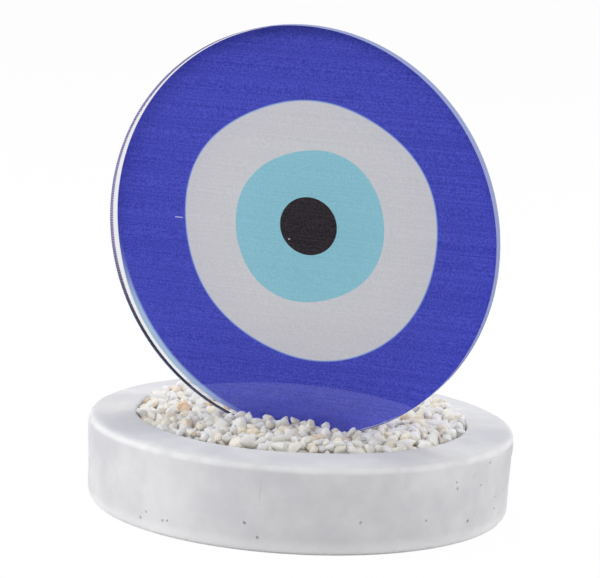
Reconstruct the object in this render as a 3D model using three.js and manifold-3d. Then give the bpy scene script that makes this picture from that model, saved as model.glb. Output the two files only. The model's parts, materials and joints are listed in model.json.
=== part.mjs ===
// Evil eye ornament: a printed clear acrylic disc that stands in a round cast base filled with pebbles.
// Millimetres, +Z up. The origin is the centre of the base's underside, and the eye looks towards -Y.

import * as THREE from "three";
import { mergeVertices } from "three/addons/utils/BufferGeometryUtils.js";
import Module from "manifold-3d";

const wasm = await Module();
wasm.setup();

// ---- Driving dimensions -----------------------------------------------------------------------------

// Cast base
const baseRadius = 53; // at the shoulder
const baseDraft = 0.6; // how much narrower the underside is
const baseHeight = 22.3; // at the mouth of the recess
const shoulderFall = 0.7; // the top face falls this much from the mouth to the shoulder
const shoulderRound = 1.9;
const footRound = 2.4;
const rimWidth = 11.7;
const mouthRound = 0.7;
const floorThickness = 10; // under the recess
const slotDepth = 5.5; // of the slot in the recess floor

// Acrylic disc
const discRadius = 50;
const sheetThickness = 3;
const tongueWidth = 22;
const discLean = 3.8; // degrees, forward
const discFootX = 4.4; // lowest point of the round, on the front face
const discFootY = -16.8;
const discFootDrop = 1.5; // below the mouth of the recess

// Print on the back of the disc
const inkThickness = 0.2;
const clearMargin = 0.36; // bare acrylic around the print
const printShift = { x: 0.35, y: 0.22 }; // the sheet was cut slightly off the print's centre
const printLobe = { swell: 0.17, count: 2, angle: -60 };

// Pebbles
const bedEdgeDrop = 4.2; // bed below the mouth, at the wall
const moundRise = 4.4; // bed rises this much towards the foot of the disc
const moundReach = 27; // radius of the mound
const bedRipple = 0.35;
const pebbleCount = 45;
const pebbleSmallest = 1.7; // half of a pebble's length
const pebbleLargest = 2.6;

// Fits
const fitGap = 0.3; // between pieces that rest on or in each other
const inkGap = 0.3; // between two inks, and between ink and sheet

// Resolution
const roundSteps = 72;
const arcSteps = 3;

// ---- Sizes worked out from them ---------------------------------------------------------------------

const recessRadius = baseRadius - rimWidth;
const slotBottom = floorThickness - slotDepth;
const bedRadius = recessRadius - fitGap;
const leanAngle = THREE.MathUtils.degToRad(discLean);
const discFoot = new THREE.Vector3(discFootX, discFootY, baseHeight - discFootDrop);
const discUp = new THREE.Vector3(0, -Math.sin(leanAngle), Math.cos(leanAngle));
const discCentre = discFoot.clone().addScaledVector(discUp, discRadius);
const tongueEnd = -discRadius - (discFoot.z - slotBottom) / discUp.z + 2 * fitGap;
const stackDepth = sheetThickness + inkGap + inkThickness; // from the front face to the back of the ink

// ---- Small tools ------------------------------------------------------------------------------------

function toSolid(geometry) {
  const bare = geometry.clone();
  bare.deleteAttribute("normal");
  bare.deleteAttribute("uv");
  const merged = mergeVertices(bare, 1e-4);
  return new wasm.Manifold(
    new wasm.Mesh({
      numProp: 3,
      vertProperties: new Float32Array(merged.attributes.position.array),
      triVerts: new Uint32Array(merged.index.array),
    }),
  );
}

function toGeometry(solid) {
  const mesh = solid.getMesh();
  const geometry = new THREE.BufferGeometry();
  geometry.setAttribute("position", new THREE.BufferAttribute(mesh.vertProperties, 3));
  geometry.setIndex(new THREE.BufferAttribute(mesh.triVerts, 1));
  geometry.computeVertexNormals();
  return geometry;
}

// A profile of (radius, height) points turned about Z
function turned(profile, steps) {
  return new THREE.LatheGeometry(profile, steps).rotateX(Math.PI / 2);
}

function seededRandom(seed) {
  let state = seed;
  return () => {
    state = (state * 1664525 + 1013904223) % 4294967296;
    return state / 4294967296;
  };
}

function piece(name, geometry, color, roughness) {
  const material = new THREE.MeshStandardMaterial({ color, roughness, metalness: 0 });
  const mesh = new THREE.Mesh(geometry, material);
  mesh.name = name;
  return mesh;
}

// ---- The disc's frame -------------------------------------------------------------------------------
// Its X runs along the sheet to the right, Y up the sheet and Z out of the front face, which is at Z = 0.

const discGroup = new THREE.Group();
discGroup.position.copy(discCentre);
discGroup.rotation.x = Math.PI / 2 + leanAngle;
discGroup.updateMatrixWorld(true);

// The round with its tongue, grown by a clearance all round
function discOutline(grow) {
  const radius = discRadius + grow;
  const halfTongue = tongueWidth / 2 + grow;
  const junction = Math.asin(halfTongue / radius);
  const outline = new THREE.Shape();
  outline.moveTo(-halfTongue, tongueEnd - grow);
  outline.lineTo(halfTongue, tongueEnd - grow);
  outline.absarc(0, 0, radius, junction - Math.PI / 2, 1.5 * Math.PI - junction, false);
  outline.closePath();
  return outline;
}

// A plate between two depths behind the front face
function plate(outline, front, back, steps) {
  const geometry = new THREE.ExtrudeGeometry(outline, {
    depth: back - front,
    bevelEnabled: false,
    curveSegments: steps,
  });
  return geometry.translate(0, 0, -back);
}

// ---- Base -------------------------------------------------------------------------------------------

function baseProfile() {
  const footRadius = baseRadius - baseDraft;
  const shoulderTop = baseHeight - shoulderFall;
  const profile = new THREE.Path();
  profile.moveTo(0, 0);
  profile.lineTo(footRadius - footRound, 0);
  profile.absarc(footRadius - footRound, footRound, footRound, -Math.PI / 2, 0, false);
  const shoulder = { x: baseRadius - shoulderRound, y: shoulderTop - shoulderRound };
  profile.absarc(shoulder.x, shoulder.y, shoulderRound, 0, Math.PI / 2, false);
  profile.absarc(recessRadius + mouthRound, baseHeight - mouthRound, mouthRound, Math.PI / 2, Math.PI, false);
  profile.lineTo(recessRadius, floorThickness);
  profile.lineTo(0, floorThickness);
  return profile.getPoints(arcSteps);
}

// The slot that holds the tongue is as deep as the tongue is long
function makeBase() {
  const halfSlot = tongueWidth / 2 + fitGap;
  const slotLow = tongueEnd - 2 * fitGap;
  const slotShape = new THREE.Shape();
  slotShape.moveTo(-halfSlot, slotLow);
  slotShape.lineTo(halfSlot, slotLow);
  slotShape.lineTo(halfSlot, -discRadius);
  slotShape.lineTo(-halfSlot, -discRadius);
  slotShape.closePath();
  const slot = plate(slotShape, -fitGap, sheetThickness + fitGap, 1).applyMatrix4(discGroup.matrixWorld);
  return toGeometry(toSolid(turned(baseProfile(), roundSteps)).subtract(toSolid(slot)));
}

// ---- Pebble bed -------------------------------------------------------------------------------------
// The packed pebbles under the loose ones, as one solid with room for the disc and its tongue.

function bedHeight(x, y) {
  const fromFoot = Math.hypot(x - discFootX, y - discFootY) / moundReach;
  const mound = moundRise * Math.exp(-fromFoot * fromFoot);
  const ripple = bedRipple * Math.sin(x / 2.3) * Math.cos(y / 2.7);
  return baseHeight - bedEdgeDrop + mound + ripple;
}

function makeBed() {
  const bottom = floorThickness + fitGap;
  const rings = 9;
  const profile = [new THREE.Vector2(0, bottom), new THREE.Vector2(bedRadius, bottom)];
  for (let ring = rings; ring >= 0; ring -= 1) {
    profile.push(new THREE.Vector2((bedRadius * ring) / rings, baseHeight));
  }
  const geometry = turned(profile, roundSteps);
  const place = geometry.attributes.position;
  for (let i = 0; i < place.count; i += 1) {
    if (place.getZ(i) > bottom + fitGap) {
      place.setZ(i, bedHeight(place.getX(i), place.getY(i)));
    }
  }
  const channel = plate(discOutline(fitGap), -fitGap, stackDepth + fitGap, roundSteps / 2);
  return toGeometry(toSolid(geometry).subtract(toSolid(channel.applyMatrix4(discGroup.matrixWorld))));
}

// ---- Loose pebbles ----------------------------------------------------------------------------------

// A crushed chip: a ball with uneven corners, squashed and turned
function makePebble(size, random) {
  const ball = new THREE.IcosahedronGeometry(size, 1);
  ball.deleteAttribute("normal");
  ball.deleteAttribute("uv");
  const chip = mergeVertices(ball, 1e-4);
  const corner = new THREE.Vector3();
  const place = chip.attributes.position;
  for (let i = 0; i < place.count; i += 1) {
    corner.fromBufferAttribute(place, i).multiplyScalar(0.86 + 0.14 * random());
    place.setXYZ(i, corner.x, corner.y, corner.z);
  }
  chip.scale(1, 0.75 + 0.2 * random(), 0.6 + 0.2 * random());
  chip.rotateX(0.6 * random() - 0.3);
  chip.rotateZ(2 * Math.PI * random());
  return chip;
}

// A pebble at (x, y) would touch the disc, which widens as it rises
function meetsDisc(x, y, size) {
  const inDisc = new THREE.Vector3(x, y, baseHeight + size).sub(discCentre);
  const forward = -Math.cos(leanAngle) * inDisc.y - Math.sin(leanAngle) * inDisc.z;
  const rise = discUp.dot(inDisc) + size;
  const halfChord = Math.sqrt(Math.max(0, discRadius * discRadius - rise * rise));
  const room = size + 2 * fitGap;
  return forward < room && forward > -stackDepth - room && Math.abs(inDisc.x) < halfChord + room;
}

// Lowered until its lowest corner is a fit gap above the bed
function seatPebble(chip, x, y) {
  chip.translate(x, y, 0);
  const place = chip.attributes.position;
  let lift = -Infinity;
  for (let i = 0; i < place.count; i += 1) {
    const clear = bedHeight(place.getX(i), place.getY(i)) + fitGap - place.getZ(i);
    lift = Math.max(lift, clear);
  }
  return chip.translate(0, 0, lift);
}

// Places spread evenly over the bed in a spiral, as many as leave enough of them clear of the disc
function clearPlaces() {
  const goldenAngle = Math.PI * (3 - Math.sqrt(5));
  const reach = bedRadius - pebbleLargest - fitGap;
  for (let places = pebbleCount; ; places += 1) {
    const clear = [];
    for (let i = 0; i < places; i += 1) {
      const radius = reach * Math.sqrt((i + 0.5) / places);
      const x = radius * Math.cos(i * goldenAngle);
      const y = radius * Math.sin(i * goldenAngle);
      if (!meetsDisc(x, y, pebbleLargest)) {
        clear.push({ x, y });
      }
    }
    if (clear.length >= pebbleCount) {
      return clear.slice(0, pebbleCount);
    }
  }
}

function makePebbles() {
  const colours = [0xf4f1ea, 0xe9e2d3, 0xfaf9f5, 0xdccfb8];
  const random = seededRandom(2600);
  return clearPlaces().map((place, i) => {
    const size = pebbleSmallest + (pebbleLargest - pebbleSmallest) * random();
    const name = `pebble_${String(i + 1).padStart(2, "0")}`;
    const chip = seatPebble(makePebble(size, random), place.x, place.y);
    return piece(name, chip, colours[i % colours.length], 0.55);
  });
}

// ---- Print ------------------------------------------------------------------------------------------
// Each outline is a round with a few shallow lobes: swell in mm, count, and where the first one points.

const whiteEdge = {
  x: 2.3,
  y: 0.7,
  radius: 31.95,
  lobes: [
    { swell: 0.63, count: 2, angle: -11 },
    { swell: 0.37, count: 3, angle: 41 },
    { swell: 0.12, count: 4, angle: 39 },
    { swell: 0.15, count: 5, angle: 14 },
    { swell: 0.16, count: 6, angle: -29 },
  ],
};
const irisEdge = {
  x: 2.2,
  y: 1.7,
  radius: 19,
  lobes: [{ swell: 0.63, count: 2, angle: 30 }, { swell: 0.26, count: 4, angle: -30 }],
};
const pupilEdge = {
  x: 2,
  y: 1.8,
  radius: 7.2,
  lobes: [{ swell: 0.15, count: 2, angle: -3 }],
};

function handDrawn(edge, inset) {
  const points = [];
  for (let i = 0; i < roundSteps; i += 1) {
    const turn = (2 * Math.PI * i) / roundSteps;
    let radius = edge.radius - inset;
    for (const lobe of edge.lobes) {
      radius += lobe.swell * Math.cos(lobe.count * (turn - THREE.MathUtils.degToRad(lobe.angle)));
    }
    points.push(new THREE.Vector2(edge.x + radius * Math.cos(turn), edge.y + radius * Math.sin(turn)));
  }
  return points;
}

function printRing(outer, inner) {
  const shape = new THREE.Shape(outer);
  if (inner) {
    shape.holes.push(new THREE.Path(inner));
  }
  const front = sheetThickness + inkGap;
  return plate(shape, front, front + inkThickness, roundSteps);
}

function makePrint() {
  const blueEdge = { ...printShift, radius: discRadius - clearMargin, lobes: [printLobe] };
  const halfGap = inkGap / 2;
  const blue = printRing(handDrawn(blueEdge, 0), handDrawn(whiteEdge, -halfGap));
  const white = printRing(handDrawn(whiteEdge, halfGap), handDrawn(irisEdge, -halfGap));
  const iris = printRing(handDrawn(irisEdge, halfGap), handDrawn(pupilEdge, -halfGap));
  const pupil = printRing(handDrawn(pupilEdge, halfGap));
  return [
    piece("print_blue", blue, 0x4b4fb6, 0.3),
    piece("print_white", white, 0xe6e6ea, 0.3),
    piece("print_iris", iris, 0x86b8c8, 0.3),
    piece("print_pupil", pupil, 0x1c1b20, 0.3),
  ];
}

// ---- Assembly ---------------------------------------------------------------------------------------

const ornament = new THREE.Group();
ornament.add(piece("base", makeBase(), 0xe4e4e6, 0.9));
ornament.add(piece("pebble_bed", makeBed(), 0xe8e2d6, 0.8));
ornament.add(...makePebbles());
discGroup.add(piece("disc", plate(discOutline(0), 0, sheetThickness, roundSteps / 2), 0xeef2ff, 0.05));
discGroup.add(...makePrint());
ornament.add(discGroup);

export default ornament;
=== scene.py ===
"""Evil eye ornament: a printed acrylic disc that stands in a cast base full of pebbles. Metres, +Z up."""
import json
import math
import random

import bmesh
import bpy
from mathutils import Matrix, Quaternion, Vector, noise


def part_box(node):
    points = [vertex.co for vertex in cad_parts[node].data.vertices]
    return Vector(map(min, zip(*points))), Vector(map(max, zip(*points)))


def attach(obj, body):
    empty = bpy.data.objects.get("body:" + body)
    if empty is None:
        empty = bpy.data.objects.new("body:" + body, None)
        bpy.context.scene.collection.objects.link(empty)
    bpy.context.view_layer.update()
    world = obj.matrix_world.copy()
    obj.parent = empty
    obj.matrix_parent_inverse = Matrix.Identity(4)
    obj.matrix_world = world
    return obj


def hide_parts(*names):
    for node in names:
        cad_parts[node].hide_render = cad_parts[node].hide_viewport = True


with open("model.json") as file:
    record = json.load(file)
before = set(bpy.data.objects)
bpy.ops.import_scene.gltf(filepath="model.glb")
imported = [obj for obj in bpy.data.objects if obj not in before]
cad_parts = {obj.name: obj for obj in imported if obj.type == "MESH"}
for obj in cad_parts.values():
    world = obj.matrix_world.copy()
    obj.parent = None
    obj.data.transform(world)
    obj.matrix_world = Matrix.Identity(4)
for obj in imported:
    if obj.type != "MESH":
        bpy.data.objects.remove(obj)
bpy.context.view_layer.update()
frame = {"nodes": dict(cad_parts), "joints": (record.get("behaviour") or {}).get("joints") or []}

MM = 0.001


# ==== Camera =====================================================================================
# A long lens low in front of the ornament, a little to its right and held slightly out of level.

base_low, base_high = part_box("base")
base_top = base_high.z
base_radius = (base_high.x - base_low.x) / 2

view_azimuth = math.radians(21.76)
view_height = math.radians(9.44)
view_tilt = math.radians(3.01)
view_distance = 0.6445
view_target = Vector((-0.0019, -0.0008, 0.0541))

camera_data = bpy.data.cameras.new("camera")
camera_data.sensor_width = 36
camera_data.lens = 156
camera = bpy.data.objects.new("camera", camera_data)
away = Vector((
    math.sin(view_azimuth) * math.cos(view_height),
    -math.cos(view_azimuth) * math.cos(view_height),
    math.sin(view_height),
))
camera.location = view_target + away * view_distance
camera.rotation_mode = "QUATERNION"
camera.rotation_quaternion = (-away).to_track_quat("-Z", "Y") @ Quaternion((0, 0, 1), view_tilt)
bpy.context.scene.collection.objects.link(camera)
bpy.context.scene.camera = camera
bpy.context.scene.view_settings.view_transform = "Standard"


# ==== Floor and room =============================================================================
# A white table in a white studio. The camera sees plain white, also through clear acrylic, and polished
# faces mirror the unlit side of the studio.

class Wire:
    """One socket of a material's node tree. Arithmetic on it adds Math nodes."""

    def __init__(self, tree, socket):
        self.tree = tree
        self.socket = socket

    def node(self, kind, settings=None, **sockets):
        """Adds a node, changes its settings, then fills its sockets by name or index."""
        made = self.tree.nodes.new(kind)
        for key, value in (settings or {}).items():
            if key == "stops":
                ramp = made.color_ramp.elements
                while len(ramp) < len(value):
                    ramp.new(1)
                for stop, (place, color) in zip(ramp, value):
                    stop.position = place
                    stop.color = (*color, 1)
            else:
                setattr(made, key, value)
        for key, value in sockets.items():
            name = int(key[1:]) if key[0] == "i" and key[1:].isdigit() else key.replace("_", " ")
            socket = made.inputs[name]
            if isinstance(value, Wire):
                self.tree.links.new(value.socket, socket)
            else:
                socket.default_value = value
        return made

    def out(self, made, name=0):
        return Wire(self.tree, made.outputs[name])

    def combine(self, operation, *values):
        """A Math node on these values, in this order."""
        sockets = {f"i{i}": value for i, value in enumerate(values)}
        return self.out(self.node("ShaderNodeMath", {"operation": operation}, **sockets))

    def math(self, operation, *others):
        """A Math node on this value and the others."""
        return self.combine(operation, self, *others)

    def dot(self, direction):
        """How far this vector reaches along a direction."""
        made = self.node("ShaderNodeVectorMath", {"operation": "DOT_PRODUCT"}, i0=self, i1=direction)
        return self.out(made, 1)

    def __add__(self, other):
        return self.math("ADD", other)

    def __sub__(self, other):
        return self.math("SUBTRACT", other)

    def __mul__(self, other):
        return self.math("MULTIPLY", other)

    def __radd__(self, other):
        return self.combine("ADD", other, self)

    def __rsub__(self, other):
        return self.combine("SUBTRACT", other, self)

    def __rmul__(self, other):
        return self.combine("MULTIPLY", other, self)

    def between(self, low, high, start=0.0, end=1.0):
        """Goes smoothly from start to end as this value goes from low to high."""
        made = self.node(
            "ShaderNodeMapRange", {"interpolation_type": "SMOOTHSTEP"},
            Value=self, From_Min=low, From_Max=high, To_Min=start, To_Max=end)
        return self.out(made)

    def blend(self, first, second):
        """The first colour where this value is 0, and the second where it is 1."""
        made = self.node(
            "ShaderNodeMix", {"data_type": "RGBA"}, i0=self, i6=colour(first), i7=colour(second))
        return self.out(made, 2)


def colour(value):
    return value if isinstance(value, Wire) else (*value, 1)


def srgb(red, green, blue):
    """A colour given as 0 to 255 on a screen, as the light values that materials use."""
    parts = [part / 255 for part in (red, green, blue)]
    return tuple(p / 12.92 if p <= 0.04045 else ((p + 0.055) / 1.055) ** 2.4 for p in parts)


def new_material(name):
    """An empty material, a wire to its object coordinates and its output node."""
    material = bpy.data.materials.new(name)
    material.use_nodes = True
    tree = material.node_tree
    tree.nodes.clear()
    place = Wire(tree, tree.nodes.new("ShaderNodeTexCoord").outputs["Object"])
    output = tree.nodes.new("ShaderNodeOutputMaterial")
    return material, place, output


def grain(place, scale, detail=2.0, roughness=0.5, stretch=(1, 1, 1)):
    """Soft noise, 0 to 1, with about scale cells to the metre."""
    mapped = place.out(place.node("ShaderNodeMapping", {"vector_type": "POINT"}, Vector=place, Scale=stretch))
    made = place.node("ShaderNodeTexNoise", Vector=mapped, Scale=scale, Detail=detail, Roughness=roughness)
    return place.out(made)


def finish_material(output, surface):
    output.id_data.links.new(surface.outputs[0], output.inputs["Surface"])


floor_shade = srgb(248, 248, 249)
floor_white = 0.97  # share of plain white that the camera sees in the floor
unlit_studio = (0.035, 0.035, 0.055, 1)  # the unlit side of the studio, which polished faces mirror


def straight_view(wire):
    """Whether a ray comes straight from the eye or through clear acrylic, and whether a face mirrored it."""
    rays = wire.node("ShaderNodeLightPath")
    direct = wire.out(rays, "Is Camera Ray").math("MAXIMUM", wire.out(rays, "Is Transmission Ray"))
    mirrored = wire.out(rays, "Glossy Depth").math("GREATER_THAN", 0.5)
    return direct, mirrored


def mixed(wire, share, first, second):
    """A shader that is first where share is 0 and second where it is 1."""
    mix = wire.node("ShaderNodeMixShader", Fac=share)
    wire.tree.links.new(first.outputs[0], mix.inputs[1])
    wire.tree.links.new(second.outputs[0], mix.inputs[2])
    return mix


material, place, output = new_material("white_table")
speck = grain(place, 400).between(0.3, 0.7)
table_paint = place.node(
    "ShaderNodeBsdfPrincipled", Base_Color=speck.blend(floor_shade, srgb(251, 251, 252)), Roughness=0.7)
direct, mirrored = straight_view(place)
table_glow = place.node("ShaderNodeEmission", Color=(1, 1, 1, 1), Strength=1.0)
table_unlit = place.node("ShaderNodeEmission", Color=unlit_studio, Strength=1.0)
table_seen = mixed(place, direct * floor_white, table_paint, table_glow)
finish_material(output, mixed(place, mirrored, table_seen, table_unlit))

bpy.ops.object.select_all(action="DESELECT")
bpy.ops.mesh.primitive_plane_add(size=6, location=(0, 0, 0))
floor = bpy.context.object
floor.name = "floor"
floor.data.materials.append(material)

world = bpy.data.worlds.new("studio")
world.use_nodes = True
bpy.context.scene.world = world
world_tree = world.node_tree
world_tree.nodes.clear()
room = Wire(world_tree, None)
direct, mirrored = straight_view(room)
room_light = room.node("ShaderNodeBackground", Color=(1, 1, 1, 1), Strength=0.42)
room_white = room.node("ShaderNodeBackground", Color=(1, 1, 1, 1), Strength=1.0)
room_unlit = room.node("ShaderNodeBackground", Color=unlit_studio, Strength=1.0)
room_mix = mixed(room, mirrored, mixed(room, direct, room_light, room_white), room_unlit)
room_output = world_tree.nodes.new("ShaderNodeOutputWorld")
world_tree.links.new(room_mix.outputs[0], room_output.inputs["Surface"])


def add_softbox(name, location, size, power):
    """A square lamp that faces the ornament."""
    lamp_data = bpy.data.lights.new(name, "AREA")
    lamp_data.size = size
    lamp_data.energy = power
    lamp = bpy.data.objects.new(name, lamp_data)
    lamp.location = location
    aim = Vector((0, 0, 0.04)) - lamp.location
    lamp.rotation_mode = "QUATERNION"
    lamp.rotation_quaternion = aim.to_track_quat("-Z", "Y")
    bpy.context.scene.collection.objects.link(lamp)
    lamp.visible_glossy = False


add_softbox("softbox_top", (-0.1, 0.1, 1.1), 0.9, 7.0)
add_softbox("softbox_left", (-1.1, -0.65, 0.6), 0.8, 8.2)
add_softbox("softbox_front", (0.3, -1.1, 1.0), 0.5, 1.0)
add_softbox("softbox_right", (1.1, 0.6, 0.4), 0.7, 6.0)


# ==== Base =======================================================================================
# A thick round block of white cement, poured into a smooth mould and lightly sanded. Air bubbles left
# pinholes in its wall, the lips are worn soft, and a hairline crack runs down the front.

recess_low, recess_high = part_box("pebble_bed")
fit_gap = 0.3 * MM
recess_radius = (recess_high.x - recess_low.x) / 2 + fit_gap
recess_floor = recess_low.z - fit_gap
base_draft = 0.6 * MM
shoulder_fall = 0.7 * MM
shoulder_round = 1.9 * MM
foot_round = 2.4 * MM
mouth_round = 0.7 * MM
wall_columns = 360
wall_rows = 24
swell = 0.18 * MM  # how far the cast surface strays from true
slot_width = 22.6 * MM
slot_thickness = 3.6 * MM

cement_light = srgb(226, 226, 227)
cement_dark = srgb(209, 209, 212)
cement_pit = srgb(190, 190, 192)
# the painted highlight along the shoulder's lip
cement_lip_highlight = srgb(250, 250, 250)
# painted light: the near-white the cement fades to at its foot
cement_foot_painted_light = srgb(252, 252, 252)


def edit(piece, mode="VERT"):
    """Opens a piece in edit mode with nothing selected, and returns its bmesh."""
    bpy.ops.object.select_all(action="DESELECT")
    piece.select_set(True)
    bpy.context.view_layer.objects.active = piece
    bpy.ops.object.mode_set(mode="EDIT")
    bpy.ops.mesh.select_mode(type=mode)
    bpy.ops.mesh.select_all(action="DESELECT")
    return bmesh.from_edit_mesh(piece.data)


def pick(piece, shape, wanted):
    """Selects the edges, faces or vertices of a piece in edit mode that a test wants, and only those."""
    bpy.ops.mesh.select_all(action="DESELECT")
    mesh = bmesh.from_edit_mesh(piece.data)
    for part in getattr(mesh, shape):
        if wanted(part):
            part.select_set(True)
    mesh.select_flush_mode()
    bmesh.update_edit_mesh(piece.data)


def close_edit():
    bpy.ops.object.mode_set(mode="OBJECT")


def middle(part):
    total = Vector()
    for vert in part.verts:
        total += vert.co
    return total / len(part.verts)


bpy.ops.object.select_all(action="DESELECT")
bpy.ops.mesh.primitive_cylinder_add(
    vertices=wall_columns, radius=base_radius, depth=base_top, location=(0, 0, base_top / 2))
base = bpy.context.object
base.name = "cement_base"
bpy.ops.object.transform_apply(location=True)

# The recess: the top face set in by the rim and pushed down to the floor
edit(base, "FACE")
pick(base, "faces", lambda face: face.normal.z > 0.9)
bpy.ops.mesh.inset(thickness=base_radius - recess_radius)
bpy.ops.mesh.extrude_region_move(TRANSFORM_OT_translate={"value": (0, 0, recess_floor - base_top)})
bpy.ops.mesh.inset(thickness=recess_radius * 0.25)

# The top falls a little towards the shoulder, and the foot is drawn in
pick(base, "verts", lambda v: v.co.z > base_top - MM and v.co.xy.length > base_radius - MM)
bpy.ops.transform.translate(value=(0, 0, -shoulder_fall))
pick(base, "verts", lambda v: v.co.z < MM)
bpy.ops.transform.resize(value=(1 - base_draft / base_radius, 1 - base_draft / base_radius, 1))


def round_lip(radius, height, width, segments):
    """Bevels the ring of edges at this radius and height."""
    def on_ring(edge):
        near = 0.2 * MM
        return all(abs(v.co.xy.length - radius) < near and abs(v.co.z - height) < near for v in edge.verts)
    pick(base, "edges", on_ring)
    bpy.ops.mesh.bevel(offset=width, segments=segments, profile=0.5, affect="EDGES")


round_lip(base_radius, base_top - shoulder_fall, shoulder_round, 6)
round_lip(base_radius - base_draft, 0, foot_round, 6)
round_lip(recess_radius, base_top, mouth_round, 4)

# Rows of small faces up the wall and across the rim, to carry the cast surface
def is_upright(edge):
    a, b = edge.verts
    return abs(a.co.z - b.co.z) > 8 * MM and a.co.xy.length > base_radius - 2 * MM


def is_across_rim(edge):
    a, b = edge.verts
    spread = abs(a.co.xy.length - b.co.xy.length)
    return spread > 5 * MM and min(a.co.z, b.co.z) > base_top - 2 * MM


pick(base, "edges", is_upright)
bpy.ops.mesh.subdivide(number_cuts=wall_rows)
pick(base, "edges", is_across_rim)
bpy.ops.mesh.subdivide(number_cuts=12)
close_edit()

# Hand-sanded unevenness and small nicks along the shoulder
# Turn in degrees and size in mm; a size below nothing is a bump
nick_places = [
    (-62, 0.7), (-40.5, 1.2), (-16, 1.3), (11.5, -1.2), (31, 0.8), (77, 1.0), (140, 1.1), (205, 0.9)]
for vert in base.data.vertices:
    spot = vert.co.copy()
    if spot.z < 0.5 * MM or spot.xy.length < recess_radius - 0.1 * MM:
        continue
    outward = Vector((spot.x, spot.y, 0)).normalized()
    wave = noise.noise(spot * 60) * swell + noise.noise(spot * 260) * swell * 0.35
    vert.co += outward * wave
    if spot.z > base_top - 6 * MM:
        vert.co.z += noise.noise(spot * 75 + Vector((7, 3, 1))) * swell
        turn = math.degrees(math.atan2(spot.y, spot.x))
        for nick_turn, nick_size in nick_places:
            along = math.radians((turn - nick_turn + 180) % 360 - 180) * base_radius / MM
            lip = (spot.xy.length - base_radius) / MM
            closeness = math.exp(-(along / nick_size) ** 2 - (lip / 1.2) ** 2)
            vert.co -= (outward * 0.5 + Vector((0, 0, 0.35))) * closeness * nick_size * 0.45 * MM

# The slot in the floor of the recess that takes the disc's tongue, and pinholes left by air bubbles
lift_axis = Vector(frame["joints"][0]["axis"]).normalized()
face_normal = Vector((0, -lift_axis.z, lift_axis.y))
disc_low, disc_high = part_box("disc")
disc_middle_x = (disc_low.x + disc_high.x) / 2
slot_middle = Vector((disc_middle_x, disc_high.y, disc_low.z))


def cut(piece, cutter):
    """Takes the cutter's shape out of a piece."""
    modifier = piece.modifiers.new("cut", "BOOLEAN")
    modifier.operation = "DIFFERENCE"
    modifier.solver = "EXACT"
    modifier.object = cutter
    bpy.ops.object.select_all(action="DESELECT")
    bpy.context.view_layer.objects.active = piece
    piece.select_set(True)
    bpy.ops.object.modifier_apply(modifier="cut")
    bpy.data.objects.remove(cutter)


# Turn in degrees, height and size in mm of the pinholes that show most
pinholes = [
    (-113, 3.5, 0.5), (-111, 5.3, 0.4), (-105, 4.3, 0.45), (-103.5, 4.5, 0.35), (-81.5, 7.2, 0.45),
    (-78, 4.0, 0.4), (-52, 8.5, 0.45), (-33, 7.8, 0.4), (-17.5, 5.8, 0.45)]
dice = random.Random(12)
for _ in range(22):
    pinholes.append((dice.uniform(-30, 205), dice.uniform(2.5, 19), dice.uniform(0.2, 0.42)))
bubble_mesh = bmesh.new()
for turn, height, size in pinholes:
    reach = base_radius - base_draft * (1 - height * MM / base_top)
    spot = Vector((math.cos(math.radians(turn)) * reach, math.sin(math.radians(turn)) * reach, height * MM))
    bmesh.ops.create_icosphere(
        bubble_mesh, subdivisions=2, radius=size * MM, matrix=Matrix.Translation(spot))
bubble_data = bpy.data.meshes.new("bubbles")
bubble_mesh.to_mesh(bubble_data)
bubble_mesh.free()
bubbles = bpy.data.objects.new("bubbles", bubble_data)
bpy.context.scene.collection.objects.link(bubbles)
cut(base, bubbles)

bpy.ops.object.select_all(action="DESELECT")
bpy.ops.mesh.primitive_cube_add(size=1)
slot_block = bpy.context.object
slot_block.name = "slot_block"
slot_axes = Matrix((Vector((1, 0, 0)), lift_axis, face_normal)).transposed().to_4x4()
slot_depth = 12 * MM
slot_size = Matrix.Diagonal((slot_width, slot_depth, slot_thickness, 1))
slot_block.data.transform(
    Matrix.Translation(slot_middle + face_normal * 1.5 * MM + lift_axis * (slot_depth / 2 - 0.6 * MM))
    @ slot_axes @ slot_size)
cut(base, slot_block)

bpy.ops.object.select_all(action="DESELECT")
base.select_set(True)
bpy.context.view_layer.objects.active = base
bpy.ops.object.shade_smooth_by_angle(angle=math.radians(40))

material, place, output = new_material("white_cement")
cloud = grain(place, 45, 4, 0.6).between(0.32, 0.68)
sand = grain(place, 2200, 3, 0.7)
blotch = grain(place, 190, 3, 0.55).between(0.45, 0.75)
tone = cloud.blend(cement_light, cement_dark)
tone = (blotch * 0.25).blend(tone, cement_dark)
tone = (sand.between(0.62, 0.75) * 0.35).blend(tone, cement_pit)
# A painted highlight runs along the shoulder's lip, and a hairline crack runs down the front
axes = place.node("ShaderNodeSeparateXYZ", Vector=place)
across, back, high = (place.out(axes, i) for i in range(3))
reach = (across * across + back * back).math("SQRT")
lip = high.between(base_top - 2.8 * MM, base_top - 1.9 * MM)
lip = lip * reach.between(base_radius - 3.4 * MM, base_radius - 1.6 * MM)
lip = lip * (1 - high.between(base_top - 1.5 * MM, base_top - 0.7 * MM))
lip = lip * grain(place, 120, 3, 0.6).between(0.2, 0.6)
tone = (lip * 0.5).blend(tone, cement_lip_highlight)
crack_angle = math.radians(-77.8)
crack_sway = (grain(place, 500, 3, 0.7) - 0.5) * 0.03
crack_turn = back.math("ARCTAN2", across) + crack_sway - crack_angle
crack = crack_turn.math("ABSOLUTE").between(0.0007, 0.0022, 1, 0)
crack = crack * high.between(12.4 * MM, 13.6 * MM) * (1 - high.between(17.6 * MM, 18.2 * MM))
tone = (crack * 0.8).blend(tone, cement_pit)
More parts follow.
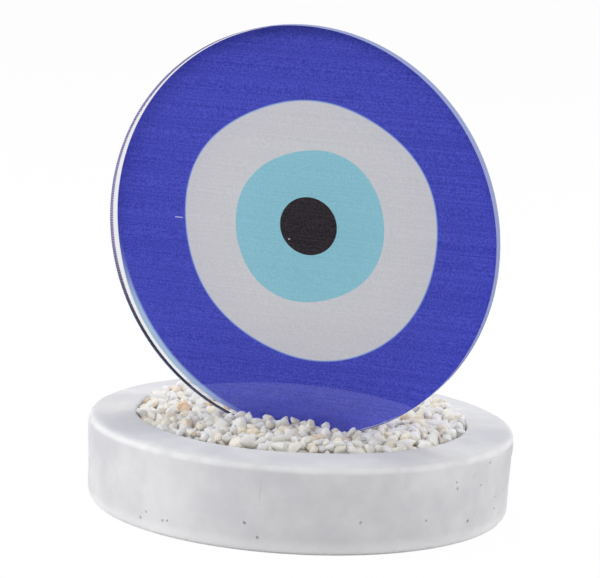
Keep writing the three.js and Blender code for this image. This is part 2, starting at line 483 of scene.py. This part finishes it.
# Painted light: the cement fades lighter towards the foot, as if washed out by the light
tone = high.between(0.5 * MM, 4.5 * MM, 0.6, 0).blend(tone, cement_foot_painted_light)
level = (sand * 0.5) + (grain(place, 700, 3, 0.6) * 0.8)
cement_bump = place.node("ShaderNodeBump", Strength=0.55, Distance=0.15 * MM, Height=level)
cement = place.node(
    "ShaderNodeBsdfPrincipled", Base_Color=tone, Roughness=0.86, Normal=place.out(cement_bump))
cement.inputs["Specular IOR Level"].default_value = 0.25
finish_material(output, cement)
base.data.materials.append(material)
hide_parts("base")
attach(base, "stand")


# ==== Acrylic disc ===============================================================================
# A round of clear 3 mm acrylic with a tongue below, cut by laser and left with its polished faces. The
# tongue drops into the slot of the base. The beam leaves fine ripples across the cut edge.

sheet = 3 * MM
disc_radius = (disc_high.x - disc_low.x) / 2
disc_centre = Vector((
    disc_middle_x,
    disc_low.y - disc_radius * lift_axis.y,
    disc_high.z - disc_radius * lift_axis.z + sheet * lift_axis.y,
))
tongue_width = 22 * MM
tongue_end = (disc_low.z - disc_centre.z) / lift_axis.z
disc_frame = Matrix.Translation(disc_centre) @ slot_axes  # X along the sheet, Y up it, Z out of its face
edge_columns = 720

bpy.ops.object.select_all(action="DESELECT")
bpy.ops.mesh.primitive_cylinder_add(
    vertices=edge_columns, radius=disc_radius, depth=sheet, location=(0, 0, -sheet / 2))
disc = bpy.context.object
disc.name = "acrylic_disc"
bpy.ops.object.transform_apply(location=True)
edit(disc, "FACE")
pick(disc, "faces", lambda face: abs(face.normal.z) < 0.1 and face.normal.y < 0
     and abs(middle(face).x) < tongue_width / 2)
bpy.ops.mesh.extrude_region_move(TRANSFORM_OT_translate={"value": (0, -5 * MM, 0)})
tongue_verts = [v for v in bmesh.from_edit_mesh(disc.data).verts if v.select]
for vert in tongue_verts:
    vert.co.y = tongue_end
bmesh.update_edit_mesh(disc.data)
pick(disc, "edges", lambda edge: len(edge.link_faces) == 2 and edge.calc_face_angle(0) > math.radians(60)
     and abs(edge.verts[0].co.z - edge.verts[1].co.z) < 0.1 * MM)
bpy.ops.mesh.bevel(offset=0.1 * MM, segments=1, profile=0.5, affect="EDGES")
close_edit()

# The beam's ripples: each upright line of the cut edge lies a little deeper or shallower
for vert in disc.data.vertices:
    turn = math.atan2(vert.co.y, vert.co.x)
    if vert.co.xy.length > disc_radius - 0.05 * MM:
        depth = 0.5 + 0.5 * math.sin(turn * 311) * math.cos(turn * 97)
        vert.co.xy *= 1 - depth * 0.035 * MM / disc_radius
disc.data.transform(disc_frame)
bpy.ops.object.select_all(action="DESELECT")
disc.select_set(True)
bpy.context.view_layer.objects.active = disc
bpy.ops.object.shade_smooth_by_angle(angle=math.radians(30))


def clear_sheet(place, rough):
    """Clear acrylic that lets lamps through to what it covers."""
    clear = place.node(
        "ShaderNodeBsdfPrincipled", Base_Color=(1, 1, 1, 1), Roughness=rough, IOR=1.49,
        Transmission_Weight=1.0, Coat_Weight=1.0, Coat_Roughness=0.01, Coat_IOR=1.6)  # hard polished skin
    through = place.node("ShaderNodeBsdfTransparent")
    shadow = place.out(place.node("ShaderNodeLightPath"), "Is Shadow Ray")
    return mixed(place, shadow * 0.94, clear, through)


material, place, output = new_material("clear_acrylic")
dust = grain(place, 700, 3, 0.7).between(0.6, 0.85, 0.012, 0.09)
finish_material(output, clear_sheet(place, dust))
disc.data.materials.append(material)

# The cut edge: the beam's ripples, frosted most towards the top. On the left the ripples are painted as pale
# ridges and dark grooves, painted highlight and shade where the light shows them, and there the edge also
# shows light that the sheet has gathered, which is given as a weak glow.
edge_right = srgb(160, 170, 214)
edge_groove = srgb(132, 120, 168)
edge_ridge = srgb(226, 224, 252)
glow_groove = srgb(96, 86, 108)
glow_ridge = srgb(158, 150, 184)
frost_side = Vector((0.25, 0, 0.97))
groove_count = 520  # the ripples that show, round the whole edge
material, place, output = new_material("laser_cut_edge")
axes = place.node("ShaderNodeSeparateXYZ", Vector=place)
sideways = place.out(axes, 0) - disc_centre.x
upward = place.out(axes, 2) - disc_centre.z
along = sideways * frost_side.x + upward * frost_side.z
frosting = along.between(-0.8 * disc_radius, -0.2 * disc_radius, 0.03, 0.95)
ripple = (upward.math("ARCTAN2", sideways) * groove_count + grain(place, 900) * 5).math("SINE")
# The left side, where the ripples are painted light and dark and the edge glows a little
left = sideways.between(-0.8 * disc_radius, -0.1 * disc_radius, 1, 0)
ripple = 1 - left.math("MAXIMUM", 0.2) * (ripple * 0.5 + 0.5)
frosted = place.node(
    "ShaderNodeBsdfPrincipled", Roughness=0.5, Emission_Strength=1.0,
    Base_Color=left.blend(edge_right, ripple.blend(edge_groove, edge_ridge)),
    Emission_Color=left.blend((0, 0, 0), ripple.blend(glow_groove, glow_ridge)))
finish_material(output, mixed(place, frosting * (ripple * 0.3 + 0.7), clear_sheet(place, 0.06), frosted))
disc.data.materials.append(material)
for face in disc.data.polygons:
    if abs(face.normal.dot(face_normal)) < 0.5:
        face.material_index = 1
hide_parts("disc")
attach(disc, "eye")


# ==== Print ======================================================================================
# Four inks printed on the back of the sheet, edge to edge: blue, white, light blue and black. The
# outlines are drawn by hand, and the printer's passes leave faint bands across the sheet.

ink_thickness = 0.05 * MM
ink_sunk = 0.02 * MM  # the wet ink bites this far into the sheet
outline_points = 288
blue_ink = srgb(55, 63, 183)
blue_ink_pale = srgb(97, 104, 228)
blue_fringe = srgb(200, 230, 255)
white_ink = srgb(223, 222, 225)
white_ink_pale = srgb(239, 237, 240)
iris_ink = srgb(149, 210, 226)
iris_ink_pale = srgb(167, 226, 242)
pupil_ink = srgb(26, 22, 27)
pupil_ink_pale = srgb(72, 62, 66)
scratch_white = srgb(236, 238, 250)

# Each outline: centre and radius in mm from the disc's centre, then its lobes as swell, count and angle
outlines = {
    "blue": (0.55, 0.22, 49.44, [(0.31, 2, -53)]),
    "white": (2.3, 0.7, 31.95, [(0.63, 2, -11), (0.37, 3, 41), (0.12, 4, 39), (0.15, 5, 14), (0.16, 6, -29)]),
    "iris": (2.2, 1.7, 19, [(0.63, 2, 30), (0.26, 4, -30)]),
    "pupil": (2, 1.8, 7.2, [(0.15, 2, -3)]),
}


def outline_point(name, turn, grow=0.0):
    x, y, radius, lobes = outlines[name]
    for amount, count, angle in lobes:
        radius += amount * math.cos(count * (turn - math.radians(angle)))
    radius += grow
    return Vector((x + radius * math.cos(turn), y + radius * math.sin(turn), 0)) * MM


def thin_ink(turn):
    """How far the blue thins out to a pale line at its outer edge: only low on the left."""
    off = (turn - math.radians(222) + math.pi) % (2 * math.pi) - math.pi
    return math.exp(-(off / math.radians(26)) ** 4)


def add_ink(name, outer, inner, material):
    """One ink: rings of faces from the outer outline to the inner one, or to the middle, given thickness."""
    fringe = 0.45  # mm, a band along each outline for the soft edge of the print
    if inner:
        steps = [(outer, 0), (outer, -fringe), (outer, -2 * fringe), (inner, fringe), (inner, 0)]
    else:
        steps = [(outer, 0), (outer, -fringe), (outer, -outlines[outer][2] * 0.6)]
    thinned = [0.6, 0.0, -0.3]  # mm that these rings move where the blue thins out
    shape = bmesh.new()
    soft = shape.verts.layers.float.new("outline")
    rings = []
    for i, (which, grow) in enumerate(steps):
        ring = []
        for k in range(outline_points):
            turn = 2 * math.pi * k / outline_points
            thin = thin_ink(turn) if outer == "blue" and i < 3 else 0.0
            vert = shape.verts.new(outline_point(which, turn, grow + thin * thinned[min(i, 2)]))
            vert[soft] = 1.0 if (inner and i == 4) else (thin if i < 2 else 0.0)
            ring.append(vert)
        rings.append(ring)
    for a, b in zip(rings, rings[1:]):
        for k in range(outline_points):
            after = (k + 1) % outline_points
            shape.faces.new((a[k], a[after], b[after], b[k]))
    if not inner:
        shape.faces.new(rings[-1])
    bmesh.ops.recalc_face_normals(shape, faces=shape.faces)
    data = bpy.data.meshes.new(name)
    shape.to_mesh(data)
    shape.free()
    ink = bpy.data.objects.new(name, data)
    bpy.context.scene.collection.objects.link(ink)
    thick = ink.modifiers.new("thickness", "SOLIDIFY")
    thick.thickness = ink_thickness
    thick.offset = 0
    bpy.ops.object.select_all(action="DESELECT")
    ink.select_set(True)
    bpy.context.view_layer.objects.active = ink
    bpy.ops.object.modifier_apply(modifier="thickness")
    ink.data.transform(disc_frame @ Matrix.Translation((0, 0, -sheet + ink_sunk - ink_thickness / 2)))
    ink.data.materials.append(material)
    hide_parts("print_" + outer)
    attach(ink, "eye")
    return ink


def sheet_mark(place, x, y, length, width):
    """1 inside a small level scratch whose middle is x, y mm from the disc's centre, and 0 outside."""
    made = place.node("ShaderNodeVectorMath", {"operation": "SUBTRACT"}, i0=place, i1=disc_centre)
    offset = place.out(made)
    soft = 0.1 * MM
    inside = []
    for direction, middle_at, size in (((1, 0, 0), x, length), (lift_axis, y, width)):
        away = (offset.dot(direction) - middle_at * MM).math("ABSOLUTE")
        inside.append(away.between(size / 2 * MM, size / 2 * MM + soft, 1, 0))
    return inside[0] * inside[1]


def ink_material(name, main, second, fringe=None, mark=None):
    """Printed ink: bands along the sheet from the printer's passes, fine droplets, and a soft outline."""
    material, place, output = new_material(name)
    passes = grain(place, 1000, 2, 0.6, stretch=(0.02, 0.02, 0.9)).between(0.3, 0.7)
    lines = grain(place, 1000, 1, 0.5, stretch=(0.004, 0.004, 2.2)).between(0.35, 0.65)
    droplets = grain(place, 2400, 3, 0.7).between(0.36, 0.64)
    amount = passes * 0.1 + lines * 0.25 + droplets * 0.65
    tone = amount.blend(main, second)
    if fringe:
        edge = place.out(place.node("ShaderNodeAttribute", {"attribute_name": "outline"}), "Fac")
        tone = (edge * 0.95).blend(tone, fringe)
    if mark:
        tone = (sheet_mark(place, *mark) * 0.85).blend(tone, scratch_white)
    bump = place.node("ShaderNodeBump", Strength=0.12, Distance=0.02 * MM, Height=amount)
    ink = place.node("ShaderNodeBsdfPrincipled", Base_Color=tone, Roughness=0.45, Normal=place.out(bump))
    ink.inputs["Specular IOR Level"].default_value = 0.15
    finish_material(output, ink)
    return material


add_ink("print_outer_blue", "blue", "white",
        ink_material("blue_print", blue_ink, blue_ink_pale, blue_fringe, (-32.1, 0.6, 1.9, 0.14)))
add_ink("print_ring_white", "white", "iris",
        ink_material("white_print", white_ink, white_ink_pale))
add_ink("print_eye_light_blue", "iris", "pupil",
        ink_material("light_blue_print", iris_ink, iris_ink_pale))
add_ink("print_eye_black", "pupil", None,
        ink_material("black_print", pupil_ink, pupil_ink_pale, mark=(-2.9, -1.85, 0.3, 0.2)))


# ==== Pebbles ====================================================================================
# Crushed white marble, 3 to 5 mm, poured into the recess and heaped against the disc. Each chip is
# a broken lump with worn corners; a few are cream, beige or rust.

chip_shapes = 12
heap_height = 3.6 * MM
heap_reach = 27 * MM
rise_behind = 2.2 * MM
bed_depth = 8.6 * MM  # from the top of the heap down to the lowest chips
places_tried = 14
chip_count = 2400
deep_chips = 620  # coarse chips that fill the bottom, before the finer ones on top
foot = disc_centre - lift_axis * disc_radius
dice = random.Random(41)


def make_chip_shape():
    """A broken lump about 1 m across: a ball cut flat on several sides, with worn corners."""
    bpy.ops.object.select_all(action="DESELECT")
    bpy.ops.mesh.primitive_ico_sphere_add(subdivisions=2, radius=0.62)
    lump = bpy.context.object
    for vert in lump.data.vertices:
        vert.co *= dice.uniform(0.9, 1.06)
    flats = []
    for _ in range(9):
        direction = Vector((dice.gauss(0, 1), dice.gauss(0, 1), dice.gauss(0, 1))).normalized()
        flats.append((direction, dice.uniform(0.3, 0.48)))
    for vert in lump.data.vertices:
        for direction, reach in flats:
            over = vert.co.dot(direction) - reach
            if over > 0:
                vert.co -= direction * over
    points = [vert.co.copy() for vert in lump.data.vertices]
    faces = [tuple(face.vertices) for face in lump.data.polygons]
    bpy.data.objects.remove(lump)
    return points, faces


shapes = [make_chip_shape() for _ in range(chip_shapes)]


def target_height(x, y):
    """How high the pebbles are poured: just under the rim, heaped at the disc's foot and higher behind."""
    away = math.hypot(x - foot.x, y - foot.y) / heap_reach
    heap = heap_height * math.exp(-away * away)
    behind = max(0, min(1, (y / recess_radius + 0.5) * 1.5)) * rise_behind
    return base_top - 0.4 * MM + heap + behind


def near_disc(x, y, z, size):
    """True if a chip here would cut into the disc, the print or the tongue."""
    local = disc_frame.inverted() @ Vector((x, y, z))
    if not -sheet - 0.3 * MM - size < local.z < size:
        return False
    if local.y > -disc_radius:
        reach = math.sqrt(max(0, disc_radius ** 2 - max(0, abs(local.y) - size) ** 2))
    else:
        reach = tongue_width / 2
    return abs(local.x) < max(reach, tongue_width / 2) + size


cell = 5 * MM
placed = {}  # centre and radius of each chip, by square of the bed


def remember(centre, size):
    placed.setdefault((int(centre.x // cell), int(centre.y // cell)), []).append((centre, size))


def rest_height(x, y, size):
    """The height at which a chip dropped here comes to rest on the others."""
    height = recess_high.z - bed_depth + size
    column, row = int(x // cell), int(y // cell)
    for near in ((column + i, row + j) for i in (-1, 0, 1) for j in (-1, 0, 1)):
        for other, other_size in placed.get(near, ()):
            gap = (other.x - x) ** 2 + (other.y - y) ** 2
            touch = (size + other_size) * 0.84
            if gap < touch * touch:
                height = max(height, other.z + math.sqrt(touch * touch - gap) * 0.9)
    return height


def drop_chip(size):
    """Tries some places and keeps the one that needs filling most. Returns its centre or None."""
    best = None
    for _ in range(places_tried):
        reach = (recess_radius - size * 0.95) * math.sqrt(dice.random())
        turn = dice.uniform(0, 2 * math.pi)
        x, y = reach * math.cos(turn), reach * math.sin(turn)
        z = rest_height(x, y, size)
        if near_disc(x, y, z, size * 0.95):
            continue
        lack = target_height(x, y) - (z + size)
        if lack > -0.5 * MM and (best is None or lack > best[0]):
            best = (lack, Vector((x, y, z)))
    return best and best[1]


def stone_material():
    material, place, output = new_material("marble_chips")
    tint = place.out(place.node("ShaderNodeAttribute", {"attribute_name": "tint"}), "Fac")
    cloud = grain(place, 600, 3, 0.6)
    warm = tint + (cloud - 0.5) * 0.5
    made = place.node("ShaderNodeValToRGB", {"stops": [
        (0.0, srgb(254, 251, 245)), (0.5, srgb(252, 245, 233)), (0.8, srgb(248, 233, 212)),
        (0.93, srgb(236, 218, 200)), (1.0, srgb(214, 178, 148))]}, Fac=warm)
    level = grain(place, 1500, 4, 0.65)
    bump = place.node("ShaderNodeBump", Strength=0.5, Distance=0.2 * MM, Height=level)
    stone = place.node(
        "ShaderNodeBsdfPrincipled", Base_Color=place.out(made), Roughness=0.45,
        Subsurface_Weight=0.85, Subsurface_Scale=0.0022, Normal=place.out(bump))
    stone.inputs["Subsurface Radius"].default_value = (1.0, 0.93, 0.82)
    finish_material(output, stone)
    return material


marble = stone_material()


def build_stones(name, chips):
    """One mesh of chips; each chip is a centre, a radius and a tint."""
    points, faces, tints = [], [], []
    for centre, size, tint in chips:
        shape_points, shape_faces = dice.choice(shapes)
        turn = Quaternion([dice.gauss(0, 1) for _ in range(4)]).normalized()
        stretch = Vector((dice.uniform(1.1, 1.5), dice.uniform(0.8, 1.05), dice.uniform(0.7, 0.95)))
        start = len(points)
        for point in shape_points:
            scaled = Vector((point.x * stretch.x, point.y * stretch.y, point.z * stretch.z))
            points.append(centre + turn @ (scaled * size * 2.05))
            tints.append(tint)
        for face in shape_faces:
            faces.append(tuple(start + index for index in face))
    data = bpy.data.meshes.new(name)
    data.from_pydata(points, [], faces)
    attribute = data.attributes.new("tint", "FLOAT", "POINT")
    attribute.data.foreach_set("value", tints)
    stones = bpy.data.objects.new(name, data)
    bpy.context.scene.collection.objects.link(stones)
    data.materials.append(marble)
    bpy.ops.object.select_all(action="DESELECT")
    stones.select_set(True)
    bpy.context.view_layer.objects.active = stones
    bpy.ops.object.shade_smooth_by_angle(angle=math.radians(20))
    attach(stones, "stand")
    return stones


def pick_tint():
    roll = dice.random()
    if roll < 0.55:
        return dice.uniform(0.0, 0.4)
    if roll < 0.9:
        return dice.uniform(0.4, 0.78)
    return dice.uniform(0.78, 0.95)


# The loose stones first, each where its solid lies, then the rest around and over them
for name in sorted(frame["nodes"]):
    if name.startswith("pebble_") and name != "pebble_bed":
        low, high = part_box(name)
        size = (high - low).length / 2 / math.sqrt(3)
        centre = (low + high) / 2
        stone = build_stones("stone_" + name[-2:], [(centre, size, pick_tint())])
        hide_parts(name)
        remember(centre, size)

packed = []
for count in range(chip_count):
    size = dice.uniform(1.05, 1.75) * MM
    if count < deep_chips:
        size = dice.uniform(1.9, 2.4) * MM
    elif dice.random() < 0.1:
        size = dice.uniform(1.8, 2.3) * MM
    centre = drop_chip(size)
    if centre is not None:
        remember(centre, size)
        packed.append((centre, size, pick_tint()))
bed = build_stones("pebbles", packed)
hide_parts("pebble_bed")
